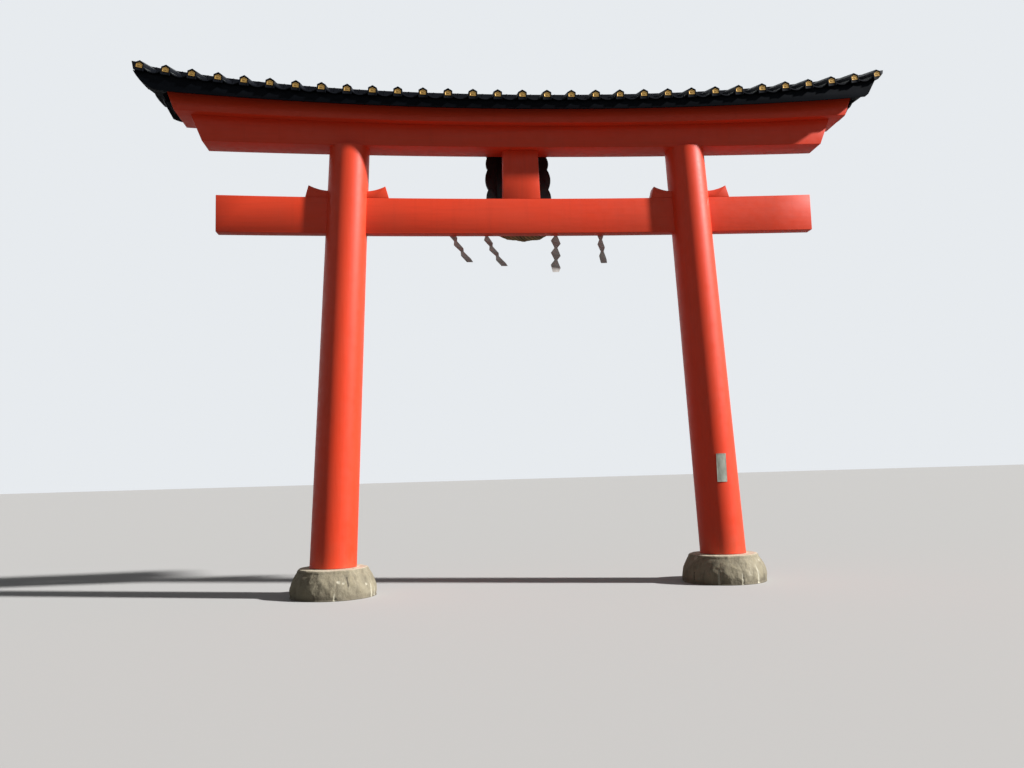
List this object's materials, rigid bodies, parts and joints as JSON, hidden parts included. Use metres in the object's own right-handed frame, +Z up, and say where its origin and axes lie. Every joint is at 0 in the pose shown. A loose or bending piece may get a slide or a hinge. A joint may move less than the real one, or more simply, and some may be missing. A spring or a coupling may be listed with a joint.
{
  "type": "torii gate",
  "caption": "Vermilion timber shrine gate on stone plinths, with a curved double lintel under a ribbed copper roof, a tie beam, wedges, a bare tablet and a straw rope.",
  "frame": {"origin": "on the ground, midway between the two plinths", "axes": "+X along the lintels, +Y out of the side that carries the name tablet, +Z up"},
  "size_m": [10.6106, 1.21, 7.4722],
  "materials": {
    "weathered_granite": "rough, weathered, with lichen-pale streaks and chipped edges",
    "vermilion_timber": "painted vermilion, slightly faded, satin",
    "dark_timber": "near-black paint, satin",
    "dark_copper": "dark patinated sheet copper",
    "gilt_plate": "gilded, dulled by weather",
    "tablet_lacquer": "dark lacquer, carved, worn",
    "tablet_gilding": "gilded moulding",
    "tablet_ground": "dark ground, left bare",
    "straw": "twisted rice straw, weathered",
    "hemp_cord": "thin twisted cord",
    "white_paper": "folded white paper, matt",
    "enamel_plate": "pale grey-green enamel, left bare"
  },
  "bodies": {
    "root": {"plinth_left": "weathered_granite", "plinth_right": "weathered_granite", "pillar_left": "vermilion_timber", "pillar_right": "vermilion_timber", "tie_beam": "vermilion_timber", "wedge_left_inner": "vermilion_timber", "wedge_left_outer": "vermilion_timber", "wedge_right_inner": "vermilion_timber", "wedge_right_outer": "vermilion_timber", "central_strut": "vermilion_timber", "lower_lintel": "vermilion_timber", "upper_lintel": "vermilion_timber", "end_board_left": "dark_timber", "end_board_right": "dark_timber", "roof_deck": "dark_timber", "roof_ribs_front": "dark_copper", "roof_ribs_back": "dark_copper", "roof_pans_front": "dark_copper", "roof_pans_back": "dark_copper", "ridge_cap": "dark_copper", "rib_caps_front": "gilt_plate", "rib_caps_back": "gilt_plate", "tablet_frame": "tablet_lacquer", "tablet_moulding": "tablet_gilding", "tablet_panel": "tablet_ground", "tablet_arms": "vermilion_timber", "rope": "straw", "rope_lashings": "hemp_cord", "streamer_1": "white_paper", "streamer_2": "white_paper", "streamer_3": "white_paper", "streamer_4": "white_paper", "pillar_plate": "enamel_plate"}
  },
  "joints": []
}
